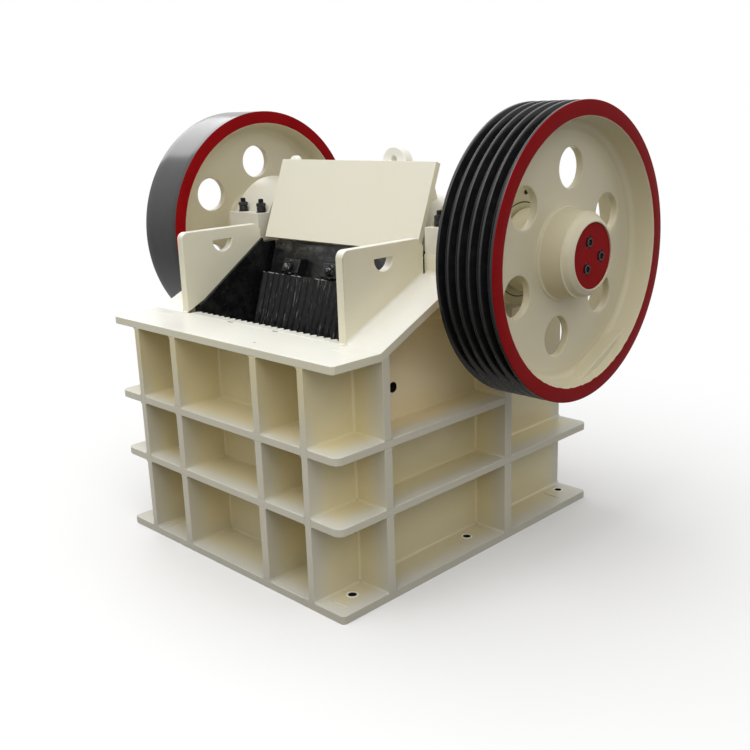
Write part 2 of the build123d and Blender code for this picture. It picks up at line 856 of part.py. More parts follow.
os.makedirs("parts", exist_ok=True)
parts = {
    "base_flange_sides": base_flange_sides(),
    "base_flange_ends": base_flange_ends(),
    "mid_flange_sides": flange_sides(mid_flange_top, frame_half_length),
    "mid_flange_ends": group([flange_front(mid_flange_top), flange_rear(mid_flange_top)]),
    "upper_flange_sides": flange_sides(upper_flange_top, side_rib_rear[0]),
    "upper_flange_front": flange_front(upper_flange_top),
    "deck_plate": deck(),
    "slope_cap_right": sloping_cap(),
    "side_plate_right": side_plate(),
    "front_wall": front_wall(),
    "rear_wall": rear_wall(),
    "bearing_shelves": bearing_shelves(),
    "front_ribs": front_ribs(),
    "side_ribs": side_ribs(),
    "rear_ribs": rear_ribs(),
    "cheek_plate_right": cheek_plate(),
    "side_liner_right": side_liner(),
    "fixed_jaw_plate": fixed_jaw(),
    "bearing_seat_right": bearing_seat(),
    "bearing_cap_right": bearing_cap(),
    "bearings": bearings(),
    "toggle_block": toggle_block(),
    "eccentric_shaft": shaft(),
    "pulley_rim": wheel_rim(True, pulley_web_inset),
    "pulley_web": wheel_web(pulley_first_hole, pulley_web_inset),
    "flywheel_rim": mirrored(wheel_rim(False, flywheel_web_inset)),
    "flywheel_web": mirrored(wheel_web(flywheel_first_hole, flywheel_web_inset)),
    "hub_covers": hub_covers(),
    "pitman_barrel": pitman_barrel(),
    "pitman_slab": pitman_slab(),
    "pitman_ribs": pitman_ribs(),
    "toggle_beam": toggle_beam(),
    "toggle_plate": toggle(),
    "moving_jaw_plate": moving_jaw(),
    "jaw_clamp_blocks": clamp_blocks(),
    "guard_plate": guard(),
    "lifting_eyes": lifting_eyes(),
    "tension_rod": tension_rod(),
    "tension_spring": tension_spring(),
}
for name in ("slope_cap", "side_plate", "cheek_plate", "side_liner", "bearing_seat", "bearing_cap"):
    parts[name + "_left"] = mirrored(parts[name + "_right"])

for name, shape in parts.items():
    shape.label = name
    export_step(shape, f"parts/{name}.step")
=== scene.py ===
"""The jaw crusher dressed for a studio picture: paint, welds, turned wheels, bolts and covers.

Metres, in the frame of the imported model. The feed deck looks to -Y, the pulley stands on +X.
"""
import json
from math import acos, atan2, cos, pi, radians, sin, tan

import bmesh
import bpy
import numpy as np
from mathutils import Matrix, Vector


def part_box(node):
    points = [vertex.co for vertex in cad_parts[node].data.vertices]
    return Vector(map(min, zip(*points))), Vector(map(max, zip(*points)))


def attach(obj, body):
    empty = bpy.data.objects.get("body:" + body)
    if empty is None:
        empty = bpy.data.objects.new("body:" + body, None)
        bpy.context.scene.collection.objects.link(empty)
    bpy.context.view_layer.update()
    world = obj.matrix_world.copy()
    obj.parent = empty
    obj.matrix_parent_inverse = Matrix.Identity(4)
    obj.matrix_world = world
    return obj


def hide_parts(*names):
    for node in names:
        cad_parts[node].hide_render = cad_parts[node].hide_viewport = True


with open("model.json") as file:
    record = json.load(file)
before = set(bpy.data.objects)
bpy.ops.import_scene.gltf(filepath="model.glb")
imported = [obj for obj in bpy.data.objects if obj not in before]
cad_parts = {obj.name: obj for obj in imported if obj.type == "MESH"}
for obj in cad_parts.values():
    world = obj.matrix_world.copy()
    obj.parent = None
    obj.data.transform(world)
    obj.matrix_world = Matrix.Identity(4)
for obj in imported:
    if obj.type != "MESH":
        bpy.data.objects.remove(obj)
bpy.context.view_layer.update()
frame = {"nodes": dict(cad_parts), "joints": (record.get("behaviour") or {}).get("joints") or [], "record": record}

# Frame measures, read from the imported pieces
base_low, base_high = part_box("base_flange_sides")
half_width = base_high.x
front_y = base_low.y
rear_y = base_high.y
plate = base_high.z
mid_low, mid_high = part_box("mid_flange_sides")
upper_low, upper_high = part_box("upper_flange_sides")
deck_low, deck_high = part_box("deck_plate")
side_low, side_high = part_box("side_plate_right")
wall_face_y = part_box("front_wall")[0].y
rear_face_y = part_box("rear_wall")[1].y
rear_wall_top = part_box("rear_wall")[1].z
side_rib_front_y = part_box("side_ribs")[0].y
side_rib_rear_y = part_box("side_ribs")[1].y
rib_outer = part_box("front_ribs")[1].x
cheek_low, cheek_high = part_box("cheek_plate_right")
housing_low, housing_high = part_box("bearing_seat_right")
cap_low, cap_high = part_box("bearing_cap_right")
shelf_low, shelf_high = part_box("bearing_shelves")
guard_foot_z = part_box("guard_plate")[0].z

# Frame measures that no box gives
rib_thickness = 0.030
rear_rib_thickness = 0.036
rib_inner = rib_outer - rib_thickness
side_rib_back_y = side_rib_front_y + rib_thickness
rear_rib_front_y = side_rib_rear_y - rear_rib_thickness
cap_foot_top = 1.067
cap_bend_y = wall_face_y + 0.019
cap_slope = radians(25.2)
slope_joint_low, slope_joint_high = 0.752, 0.900
side_rib_top = 0.745
jaw_lean = radians(18.25)
slab_back_depth = -0.2385

# Wheel measures
shaft_y, shaft_z = frame["joints"][0]["pos_m"][1:]
rim_low, rim_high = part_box("pulley_rim")
wheel_radius = (rim_high.z - rim_low.z) / 2
rim_middle = (rim_low.x + rim_high.x) / 2
rim_half_width = (rim_high.x - rim_low.x) / 2
ring_inner = wheel_radius - 0.047
web_edge = ring_inner - 0.010
web_thickness = 0.026
pulley_web_front = rim_low.x + 0.124
flywheel_web_front = rim_low.x + 0.110
web_joint = web_edge - 0.026
hub_foot = 0.144
hub_joint = hub_foot + 0.016
hub_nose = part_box("pulley_web")[1].x
hub_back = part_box("pulley_web")[0].x
hub_collar = 0.1282
hub_mouth = 0.0978
seat_radius = 0.0701
hole_radius = 0.061
hole_circle = 0.250
hole_edge = 0.004
groove_pitch, groove_land, groove_depth, groove_count = 0.037, 0.006, 0.022, 5
groove_bottom = groove_pitch - groove_land - 2 * groove_depth * tan(radians(20))
weight_thickness = 0.048
cover_radius = 0.0965
cover_edge = cover_radius - 0.0015
cover_low, cover_high = 0.842, 0.849
screw_circle, screw_hole, screw_radius = 0.045, 0.0165, 0.0145
screw_turn = 113
screw_angles = [radians(screw_turn - 120 * number) for number in range(3)]
arc_points = 6

# Holes and bolts
anchor_x = 0.470
anchor_rows = (-0.508, 0.026, 0.560)
anchor_radius = 0.0125
liner_bolt_y, liner_bolt_z, liner_bolt_radius = -0.265, 0.605, 0.016
bearing_radius = 0.146
bearing_bolt_circle = 0.174
stud_columns, stud_inset = (0.432, 0.537), 0.040
clamp_columns = (-0.205, 0.0, 0.205)
bearing_bolt_angles = (30, 86, 150, 225, 315)
bolt_points = 48

# What the record says of each node
bodies = frame["record"]["behaviour"]["bodies"]
body_of = {node: body for body, members in bodies.items() for node in members}


def grid_faces(rows, columns, wrap_rows=False, wrap_columns=True):
    """Quads between neighbouring points of a rows by columns grid."""
    row = np.arange(rows if wrap_rows else rows - 1)
    column = np.arange(columns if wrap_columns else columns - 1)
    r, c = np.meshgrid(row, column, indexing="ij")
    r_next, c_next = (r + 1) % rows, (c + 1) % columns
    here, after = r * columns, r_next * columns
    corners = (here + c, here + c_next, after + c_next, after + c)
    return np.stack([corner.ravel() for corner in corners], axis=1)


def join_grids(grids):
    """One vertex array and one face array from several."""
    vertices, faces, start = [], [], 0
    for points, quads in grids:
        vertices.append(points.reshape(-1, 3))
        faces.append(quads + start)
        start += len(vertices[-1])
    return np.concatenate(vertices), np.concatenate(faces)


def finish_mesh(mesh, sharp_degrees, flatten=False):
    """Merges doubles, joins flat faces if asked, turns normals outwards and marks sharp edges."""
    work = bmesh.new()
    work.from_mesh(mesh)
    bmesh.ops.remove_doubles(work, verts=work.verts, dist=2e-6)
    bmesh.ops.dissolve_degenerate(work, edges=work.edges, dist=1e-7)
    if flatten:
        bmesh.ops.dissolve_limit(work, angle_limit=radians(0.6), verts=work.verts, edges=work.edges)
    bmesh.ops.recalc_face_normals(work, faces=work.faces)
    work.to_mesh(mesh)
    work.free()
    mesh.shade_smooth()
    mesh.set_sharp_from_angle(angle=radians(sharp_degrees))


def full_turn(count, start=0.0):
    """Evenly spaced angles once round."""
    return start + np.linspace(0, 2 * pi, count, endpoint=False)


def show(name, mesh, material, body, nodes):
    """Object for a finished mesh, riding on a body and standing for the named nodes."""
    mesh.materials.append(material)
    piece = bpy.data.objects.new(name, mesh)
    bpy.context.collection.objects.link(piece)
    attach(piece, body)
    if nodes:
        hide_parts(*nodes)
    return piece


def add_piece(name, grids, body, material, sharp_degrees=32, nodes=()):
    """New piece from grids of points and the quads between them."""
    vertices, faces = join_grids(grids)
    mesh = bpy.data.meshes.new(name)
    mesh.from_pydata(vertices.tolist(), [], faces.tolist())
    finish_mesh(mesh, sharp_degrees)
    show(name, mesh, material, body, nodes)


def dress(node, material, edge, segments):
    """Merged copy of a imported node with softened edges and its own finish."""
    mesh = frame["nodes"][node].data.copy()
    mesh.name = node + "_finish"
    mesh.materials.clear()
    finish_mesh(mesh, 32, flatten=True)
    piece = show(node + "_finish", mesh, material, body_of[node], [node])
    if edge:
        bevel = piece.modifiers.new("soft_edges", "BEVEL")
        bevel.width = edge
        bevel.segments = segments
        bevel.limit_method = "ANGLE"
        bevel.angle_limit = radians(35)
        bevel.harden_normals = True


# Paint and metal
class Nodes:
    """Small helper that adds and links the shader nodes of a material or world."""

    def __init__(self, owner, place):
        owner.use_nodes = True
        self.nodes, self.links = owner.node_tree.nodes, owner.node_tree.links
        self.coordinates = self.node("ShaderNodeTexCoord").outputs
        self.place = self.coordinates[place]

    def put(self, target, value):
        if isinstance(value, bpy.types.NodeSocket):
            self.links.new(value, target)
        else:
            target.default_value = value

    def node(self, kind, **inputs):
        """New node with the named inputs set or linked."""
        node = self.nodes.new(kind)
        for name, value in inputs.items():
            self.put(node.inputs[name.replace("_", " ")], value)
        return node

    def noise(self, scale, detail=3.0, rough=0.5, stretch=None):
        """Value of a noise field over the object, from 0 to 1."""
        source = self.place
        if stretch:
            source = self.node("ShaderNodeMapping", Vector=source, Scale=stretch).outputs["Vector"]
        noise = self.node("ShaderNodeTexNoise", Vector=source, Scale=scale, Detail=detail,
                          Roughness=rough)
        return noise.outputs["Fac"]

    def math(self, operation, a, b=0.0):
        node = self.nodes.new("ShaderNodeMath")
        node.operation = operation
        self.put(node.inputs[0], a)
        self.put(node.inputs[1], b)
        return node.outputs[0]

    def plus(self, a, b):
        return self.math("ADD", a, b)

    def minus(self, a, b):
        return self.math("SUBTRACT", a, b)

    def times(self, a, b):
        return self.math("MULTIPLY", a, b)

    def ramp(self, value, low, high, start=0.0, end=1.0):
        """Smooth step of value from low to high, mapped to start and end."""
        node = self.node("ShaderNodeMapRange", Value=value, From_Min=low, From_Max=high,
                         To_Min=start, To_Max=end)
        node.interpolation_type = "SMOOTHSTEP"
        return node.outputs["Result"]

    def blend(self, factor, a, b):
        """Colour between a and b."""
        node = self.node("ShaderNodeMix")
        node.data_type = "RGBA"
        self.put(node.inputs["Factor"], factor)
        for socket, colour in ((node.inputs[6], a), (node.inputs[7], b)):
            self.put(socket, colour if isinstance(colour, bpy.types.NodeSocket) else (*colour, 1))
        return node.outputs[2]

    def axes(self, vector=None):
        """X, Y and Z of a vector, or of the place on the object."""
        return tuple(self.node("ShaderNodeSeparateXYZ", Vector=vector or self.place).outputs)

    def distance(self, *parts):
        """Length of the vector with the given parts."""
        total = 0.0
        for part in parts:
            total = self.plus(total, self.times(part, part))
        return self.math("SQRT", total)

    def bump(self, height, strength, distance, under=None):
        """Normal for a height field, on top of another one."""
        node = self.node("ShaderNodeBump", Height=height, Strength=strength, Distance=distance)
        if under:
            self.put(node.inputs["Normal"], under)
        return node.outputs["Normal"]

    def mix(self, factor, first, second):
        """Shader between the first, at 0, and the second, at 1."""
        node = self.node("ShaderNodeMixShader")
        for socket, value in zip(node.inputs, (factor, first, second)):
            self.put(socket, value)
        return node.outputs[0]


class Tree(Nodes):
    """Nodes of one new material, with its surface shader."""

    def __init__(self, name):
        self.material = bpy.data.materials.new(name)
        super().__init__(self.material, "Object")
        self.shader = self.nodes["Principled BSDF"]

    def set(self, **values):
        for name, value in values.items():
            self.put(self.shader.inputs[name.replace("_", " ")], value)


plate_cream = ((0.790, 0.752, 0.580), (0.805, 0.775, 0.615), (0.760, 0.710, 0.530))
# Painted shade: a darker copy of the cream for the frame's outer faces
shaded_frame_cream = ((0.680, 0.640, 0.515), (0.695, 0.660, 0.540), (0.650, 0.600, 0.465))
# Painted shade: a darker copy of the cream for the wheels
shaded_wheel_tones = ((0.700, 0.640, 0.460), (0.715, 0.665, 0.500), (0.665, 0.600, 0.415))
# Painted shade: a greyer, darker copy of the cream that tones down the bearing cap domes
shaded_cap_cream = ((0.720, 0.692, 0.580), (0.735, 0.710, 0.605), (0.695, 0.662, 0.545))
# Painted light: a near-white copy of the cream for the lifting eyes, as if lit
lit_eye_cream = ((0.920, 0.905, 0.810), (0.930, 0.920, 0.830), (0.900, 0.875, 0.760))
# Painted light: the paler colour that upward faces of the cream take, standing for light from above
painted_top_light = (0.870, 0.860, 0.785)
# Painted light: the paler colour that upward faces of the frame take
frame_painted_top_light = (0.690, 0.680, 0.600)
# Painted shade: the grey colour that the frame takes near the floor
painted_low_shade = (0.400, 0.390, 0.360)
# Painted shade: the olive colour deep in the pockets
painted_pocket_shade = (0.765, 0.680, 0.430)
# Painted light: a paler, warmer shade colour for the side plate recess above the upper flange
painted_niche_light = (0.950, 0.815, 0.520)
hole_dark = (0.020, 0.017, 0.012)
red = (0.310, 0.005, 0.007)
red_dark = (0.270, 0.004, 0.006)
black = (0.0080, 0.0080, 0.0085)
black_worn = (0.016, 0.016, 0.016)
# Painted sheen: the pale streak colour of the pitman slab, standing for a glossy band under the guard
slab_sheen = (0.160, 0.160, 0.150)
liner_worn = (0.030, 0.030, 0.028)
bare_steel = (0.420, 0.420, 0.415)
shaft_steel = (0.520, 0.510, 0.490)
shaft_stain = (0.340, 0.310, 0.270)
bolt_black = (0.018, 0.018, 0.019)
bolt_brown = (0.060, 0.056, 0.050)
# Painted highlight: the near-white patch colour that stands for glints on the clamp bolts
bolt_glint = (0.850, 0.850, 0.830)
grime = (0.420, 0.360, 0.250)
dent_shadow = (0.180, 0.155, 0.110)

# Painted dent shadows and a speck on the deck: place in X and Y, reach in X and Y, and depth of tone
deck_marks = (
    (-0.137, -0.4355, 0.016, 0.0060, 0.95),
    (0.091, -0.4355, 0.016, 0.0060, 0.95),
    (0.158, -0.569, 0.0065, 0.0055, 0.6),
)


def cream_colour(tree, tones=plate_cream, lit_top=painted_top_light):
    """Cream enamel in broad soft patches, with faces that look up painted paler as painted light from above."""
    main, pale, shade = tones
    broad = tree.ramp(tree.noise(1.8, 1.0), 0.35, 0.68)
    colour = tree.blend(broad, main, pale)
    patch = tree.ramp(tree.noise(5.0, 1.0), 0.50, 0.80, 0.0, 0.14)
    colour = tree.blend(patch, colour, shade)
    # Painted light: the paler top colour grows as the face turns up
    if lit_top:
        upward = tree.axes(tree.coordinates["Normal"])[2]
        colour = tree.blend(tree.ramp(upward, 0.15, 0.85), colour, lit_top)
    speck = tree.ramp(tree.noise(320.0, 2.0, 0.6), 0.76, 0.82, 0.0, 0.25)
    return tree.blend(speck, colour, grime)


def enamel(tree, colour, roughness=(0.29, 0.42), shine=0.45, orange_peel=0.05, waves=0.35):
    """Paint whose roughness changes in patches, over orange peel and slow waves in the plate."""
    slow = tree.bump(tree.noise(6.0, 1.0), waves, 0.004)
    tree.set(Base_Color=colour, Specular_IOR_Level=shine,
             Roughness=tree.ramp(tree.noise(4.0, 1.0), 0.30, 0.72, *roughness),
             Normal=tree.bump(tree.noise(240.0, 3.0, 0.55), orange_peel, 0.0012, under=slow))
    return tree.material


def cream_paint(name, tones, lit_top=None):
    """Cream enamel in the given tones. When a top colour is given, faces that look up are painted paler as painted
    light; otherwise it is the same on every side of the piece.
    """
    tree = Tree(name)
    return enamel(tree, cream_colour(tree, tones, lit_top), (0.29, 0.40))


def frame_paint():
    """Cream enamel with painted light and shade: a darker copy of the cream, paler upward faces, olive painted
    shade deep in the pockets and under the wheel, a warmer painted light in the recess over the upper flange,
    darker near the floor, and dark in the bolt holes.
    """
    tree = Tree("frame_enamel")
    x, y, z = tree.axes()
    across = tree.math("ABSOLUTE", x)
    from_side = tree.minus(half_width, across)
    from_end = tree.math("MINIMUM", tree.minus(y, front_y), tree.minus(rear_y, y))
    # Painted shadow of the wheel: from 0.40 m to 0.85 m up the ends count as up to 0.12 m deeper, so the side
    # plate under the wheel takes the shade colour
    from_end = tree.plus(from_end, tree.ramp(z, 0.40, 0.85, 0.0, 0.12))
    depth = tree.ramp(tree.math("MINIMUM", from_side, from_end), 0.008, 0.090)
    # Painted light: behind the front side rib, short of the rear and from the upper flange up, the deep colour is
    # the paler, warmer one
    lit_niche = tree.times(tree.ramp(y, side_rib_front_y, side_rib_front_y + 0.03),
                      tree.ramp(y, side_rib_rear_y - 0.35, side_rib_rear_y - 0.05, 1.0, 0.0))
    lit_niche = tree.times(lit_niche, tree.ramp(z, upper_low.z, upper_high.z + 0.02))
    shade = tree.blend(lit_niche, painted_pocket_shade, painted_niche_light)
    # Painted shade: the shade colour takes over with depth into the pockets
    colour = tree.blend(depth, cream_colour(tree, shaded_frame_cream, frame_painted_top_light), shade)
    # Painted shade: darker and greyer towards the floor, up to 0.12 m
    colour = tree.blend(tree.ramp(z, 0.010, 0.120, 0.28, 0.0), colour, painted_low_shade)
    beside = tree.minus(across, anchor_x)
    nearest = 1.0
    for row in anchor_rows:
        nearest = tree.math("MINIMUM", nearest, tree.distance(beside, tree.minus(y, row)))
    anchors = tree.ramp(nearest, anchor_radius + 0.0002, anchor_radius + 0.0012, 1.0, 0.0)
    anchors = tree.times(anchors, tree.ramp(z, plate + 0.002, plate + 0.004, 1.0, 0.0))
    bolt = tree.distance(tree.minus(y, liner_bolt_y), tree.minus(z, liner_bolt_z))
    bolt = tree.ramp(bolt, liner_bolt_radius + 0.0002, liner_bolt_radius + 0.0012, 1.0, 0.0)
    colour = tree.blend(tree.math("MAXIMUM", anchors, bolt), colour, hole_dark)
    return enamel(tree, colour)


def bearing_paint():
    """Cream end cover whose joint with the housing stays dark."""
    tree = Tree("bearing_enamel")
    _, y, z = tree.axes()
    radius = tree.distance(tree.minus(y, shaft_y), tree.minus(z, shaft_z))
    joint = tree.ramp(radius, bearing_radius - 0.0036, bearing_radius - 0.0028)
    return enamel(tree, tree.blend(joint, cream_colour(tree), hole_dark))


def deck_paint():
    """Cream with upward faces painted paler as painted light, two painted dent shadows along the fixed jaw and a
    speck nearer the front.
    """
    tree = Tree("deck_enamel")
    x, y, _ = tree.axes()
    colour = cream_colour(tree)
    for place_x, place_y, reach_x, reach_y, shade in deck_marks:
        along = tree.math("DIVIDE", tree.minus(x, place_x), reach_x)
        deep = tree.math("DIVIDE", tree.minus(y, place_y), reach_y)
        mark = tree.ramp(tree.distance(along, deep), 0.7, 1.1, shade, 0.0)
        colour = tree.blend(mark, colour, dent_shadow)
    return enamel(tree, colour, (0.29, 0.38))


def red_colour(tree):
    """Red in soft patches."""
    return tree.blend(tree.ramp(tree.noise(11.0, 4.0, 0.6), 0.35, 0.70), red, red_dark)


def red_paint():
    """Dull red of the hub covers."""
    tree = Tree("red_enamel")
    return enamel(tree, red_colour(tree), shine=0.03)


def rim_paint():
    """Black tread, red side faces and a cream inner face, with a hand-painted border."""
    tree = Tree("rim_enamel")
    x, y, z = tree.axes()
    y = tree.minus(y, shaft_y)
    z = tree.minus(z, shaft_z)
    radius = tree.distance(y, z)
    low = tree.ramp(z, -0.36, -0.24, 0.0014, 0.0002)
    wander = tree.times(low, tree.ramp(tree.noise(34.0, 2.0, 0.5), 0.30, 0.70, -1.0, 1.0))
    brushed = tree.plus(radius, wander)
    from_middle = tree.math("ABSOLUTE", tree.minus(tree.math("ABSOLUTE", x), rim_middle))
    outside = tree.ramp(from_middle, rim_half_width - 0.0020, rim_half_width - 0.0012, 1.0, 0.0)
    inside = tree.ramp(brushed, ring_inner + 0.0020, ring_inner + 0.0030, 1.0, 0.0)
    worn = tree.ramp(tree.noise(30.0, 4.0, 0.6), 0.40, 0.75)
    tread = tree.blend(worn, black, black_worn)
    colour = tree.blend(outside, red_colour(tree), tread)
    colour = tree.blend(inside, colour, cream_colour(tree, shaded_wheel_tones, None))
    # Painted highlight: the lands shine more on the half of the wheel that is upper at rest
    upper_land_highlight = tree.times(tree.ramp(radius, wheel_radius - 0.0030, wheel_radius - 0.0010),
                     tree.ramp(z, -0.08, 0.30, 0.0, 0.65))
    shine = tree.plus(tree.times(outside, tree.plus(upper_land_highlight, 0.20)), 0.03)
    return enamel(tree, colour, (0.17, 0.26), shine, orange_peel=0.04, waves=0.2)


def cast_black(name, worn_colour=black_worn, grain=(110.0, 7.0, 7.0), shine=0.35, glints=0.0,
               top_height=None, back_of=None, bare_glint_above=None, sheen_above=None):
    """Black paint over a rough casting, streaked along its grain.

    It is cream from top_height up and behind back_of, where the brush went over it. It is bare bright steel near
    the top of the teeth, above a height measured along the leaning jaw; this is wear that also stands as painted
    glints.
    Its worn streaks fade below another given height, which on the slab leaves a pale band as a painted sheen.
    Glints adds bare-steel flecks as painted highlights.
    """
    tree = Tree(name)
    _, y, z = tree.axes()
    streaks = tree.noise(1.0, 3.0, 0.6, stretch=grain)
    worn = tree.times(tree.ramp(tree.noise(24.0, 5.0, 0.65), 0.38, 0.70),
                     tree.ramp(streaks, 0.35, 0.65))
    # Painted sheen: below the given height the pale streaks fade to an eighth, so they show as a band higher up
    if sheen_above is not None:
        worn = tree.times(worn, tree.ramp(z, sheen_above - 0.030, sheen_above + 0.010, 0.12, 1.0))
    colour = tree.blend(worn, black, worn_colour)
    # Painted highlights: bare-steel flecks along fine streaks stand for glints
    if glints:
        fine_streaks = tree.noise(1.0, 3.0, 0.6, stretch=(260.0, 16.0, 16.0))
        glint = tree.times(tree.ramp(fine_streaks, 0.56, 0.66),
                          tree.ramp(tree.noise(18.0, 2.0), 0.42, 0.62))
        colour = tree.blend(tree.times(glint, glints), colour, bare_steel)
    if top_height is not None:
        over = tree.plus(z, tree.ramp(tree.noise(38.0, 3.0), 0.3, 0.7, -0.0012, 0.0012))
        colour = tree.blend(tree.ramp(over, top_height - 0.0035, top_height - 0.0025),
                            colour, cream_colour(tree))
    if back_of is not None:
        depth = tree.minus(tree.times(y, cos(jaw_lean)), tree.times(z, sin(jaw_lean)))
        colour = tree.blend(tree.ramp(depth, back_of, back_of + 0.004), colour, cream_colour(tree))
    # Bare steel at the tooth tops: worn, and also standing as painted glints
    if bare_glint_above is not None:
        height = tree.plus(tree.times(y, sin(jaw_lean)), tree.times(z, cos(jaw_lean)))
        bare = tree.times(tree.ramp(height, bare_glint_above - 0.004, bare_glint_above - 0.001),
                         tree.ramp(tree.noise(70.0, 2.0), 0.50, 0.60))
        colour = tree.blend(bare, colour, bare_steel)
    tree.set(Base_Color=colour, Specular_IOR_Level=shine)
    tree.set(Roughness=tree.ramp(tree.noise(15.0, 4.0, 0.6), 0.30, 0.72, 0.12, 0.26))
    coarse = tree.bump(tree.noise(34.0, 4.0, 0.6), 0.45, 0.004)
    lines = tree.bump(streaks, 0.35, 0.002, under=coarse)
    fine = tree.bump(tree.noise(150.0, 3.0, 0.6), 0.30, 0.0014, under=lines)
    tree.set(Normal=fine)
    return tree.material


def turned_steel():
    """Lathe-turned steel with fine rings round the shaft."""
    tree = Tree("turned_steel")
    rings = tree.noise(1.0, 2.0, 0.5, stretch=(900.0, 6.0, 6.0))
    stain = tree.ramp(tree.noise(12.0, 4.0, 0.6), 0.45, 0.75)
    tree.set(Base_Color=tree.blend(stain, shaft_steel, shaft_stain), Metallic=1.0)
    tree.set(Roughness=tree.ramp(rings, 0.3, 0.7, 0.24, 0.40), Normal=tree.bump(rings, 0.2, 0.0004))
    return tree.material


def dark_steel(name, worn_colour):
    """Blackened steel with patches of the given colour: worn metal, or painted glints where that colour is near
    white.
    """
    tree = Tree(name)
    worn = tree.ramp(tree.noise(46.0, 5.0, 0.65), 0.50, 0.74)
    tree.set(Base_Color=tree.blend(worn, bolt_black, worn_colour), Metallic=0.6)
    tree.set(Roughness=tree.ramp(tree.noise(30.0, 4.0, 0.6), 0.3, 0.7, 0.30, 0.50))
    tree.set(Normal=tree.bump(tree.noise(260.0, 3.0, 0.6), 0.25, 0.0008))
    return tree.material


# The plates' cream paints its upward faces paler, as painted light
paint = cream_paint("cream_enamel", plate_cream, painted_top_light)
# Wheels in the darker copy of the cream, as painted shade
shaded_wheel_cream = cream_paint("shaded_wheel_enamel", shaded_wheel_tones)
# Bearing caps in the darker copy of the cream, as painted shade
shaded_cap_paint = cream_paint("shaded_cap_enamel", shaded_cap_cream)
# Lifting eyes in the near-white copy of the cream, as painted light
lit_eye_paint = cream_paint("lit_eye_enamel", lit_eye_cream)
frame_cream = frame_paint()
bearing_cream = bearing_paint()
deck_cream = deck_paint()
red_enamel = red_paint()
rim_enamel = rim_paint()
jaw_black = cast_black("jaw_black")
liner_black = cast_black("liner_black", worn_colour=liner_worn)
fixed_jaw_finish = cast_black("fixed_jaw_black", top_height=deck_high.z)
slab_finish = cast_black("slab_black", worn_colour=slab_sheen, grain=(7.0, 30.0, 55.0),
                         back_of=slab_back_depth, sheen_above=guard_foot_z - 0.035)
tooth_top = max(point.co.y * sin(jaw_lean) + point.co.z * cos(jaw_lean)
                for point in frame["nodes"]["moving_jaw_plate"].data.vertices)
tooth_black = cast_black("tooth_black", worn_colour=black, shine=0.18, glints=0.35,
                         bare_glint_above=tooth_top)
steel = turned_steel()
dark = dark_steel("dark_steel", bolt_brown)
# Clamp bolt steel whose near-white patches are painted glints
glinting_steel = dark_steel("glinting_steel", bolt_glint)


# Turned surfaces
def rounded(corners, closed=True):
    """Profile through (x, radius, rounding) corners, each passed by an arc of that rounding.

    The arc's centre lies on the corner's bisector, at rounding over the sine of its half angle.
    """
    points = np.array([corner[:2] for corner in corners], float)
    count = len(points)
    result = []
    for index, corner in enumerate(corners):
        rounding = corner[2]
        here = points[index]
        if rounding == 0 or (not closed and index in (0, count - 1)):
            result.append(here[None])
            continue
        before = points[index - 1] - here
        after = points[(index + 1) % count] - here
        before, after = before / np.linalg.norm(before), after / np.linalg.norm(after)
        half = acos(float(np.clip(before @ after, -1, 1))) / 2
        middle = (before + after) / np.linalg.norm(before + after)
        centre = here + middle * rounding / sin(half)
        start = here + before * rounding / tan(half) - centre
        end = here + after * rounding / tan(half) - centre
        turn = atan2(start[0] * end[1] - start[1] * end[0], start @ end)
        angle = np.linspace(0, turn, arc_points)[:, None]
        side = np.array([-start[1], start[0]])
        result.append(centre + start * np.cos(angle) + side * np.sin(angle))
    return np.concatenate(result)


def turned(profile, angles, side, closed=False):
    """Profile of x and radius carried round the shaft: y and z are radius times cosine and sine."""
    x = np.broadcast_to(side * profile[None, :, 0], (len(angles), len(profile)))
    y = shaft_y + profile[None, :, 1] * np.cos(angles)[:, None]
    z = shaft_z + profile[None, :, 1] * np.sin(angles)[:, None]
    return np.stack([x, y, z], axis=2), grid_faces(len(angles), len(profile), True, closed)


def round_shaft(depth, radial, across, angle, side):
    """Grid at a depth along the shaft, whose radial and across measures are turned by an angle."""
    y = shaft_y + radial * cos(angle) - across * sin(angle)
    z = shaft_z + radial * sin(angle) + across * cos(angle)
    return np.stack([np.broadcast_to(side * depth, y.shape), y, z], axis=2)


def rim_profile(grooved, web_front):
    """Closed section of the rim: grooves, side faces, drafted inner face and web fillets."""
    web_back = web_front - web_thickness
    corners = [(rim_low.x, ring_inner, 0.004), (rim_low.x, wheel_radius, 0.003)]
    if grooved:
        half_top, half_bottom = (groove_pitch - groove_land) / 2, groove_bottom / 2
        top, bottom = (wheel_radius, 0.0012), (wheel_radius - groove_depth, 0.003)
        for number in range(groove_count):
            centre = rim_middle + (number - (groove_count - 1) / 2) * groove_pitch
            corners += [(centre - half_top, *top), (centre - half_bottom, *bottom),
                        (centre + half_bottom, *bottom), (centre + half_top, *top)]
    else:
        corners += [(rim_low.x + (rim_high.x - rim_low.x) * part / 6, wheel_radius, 0)
                    for part in range(1, 6)]
    corners += [
        (rim_high.x, wheel_radius, 0.003),
        (rim_high.x, ring_inner, 0.004),
        (web_front, web_edge, 0.018),
        (web_front, web_joint, 0),
        (web_back, web_joint, 0),
        (web_back, web_edge, 0.018),
    ]
    return rounded(corners)


def wheel_rim(node, side, web_front, grooved):
    """Whole rim, turned in one piece round the shaft."""
    rim = turned(rim_profile(grooved, web_front), full_turn(300), side, closed=True)
    add_piece(node + "_turned", [rim], "rotor", rim_enamel, 40, [node])


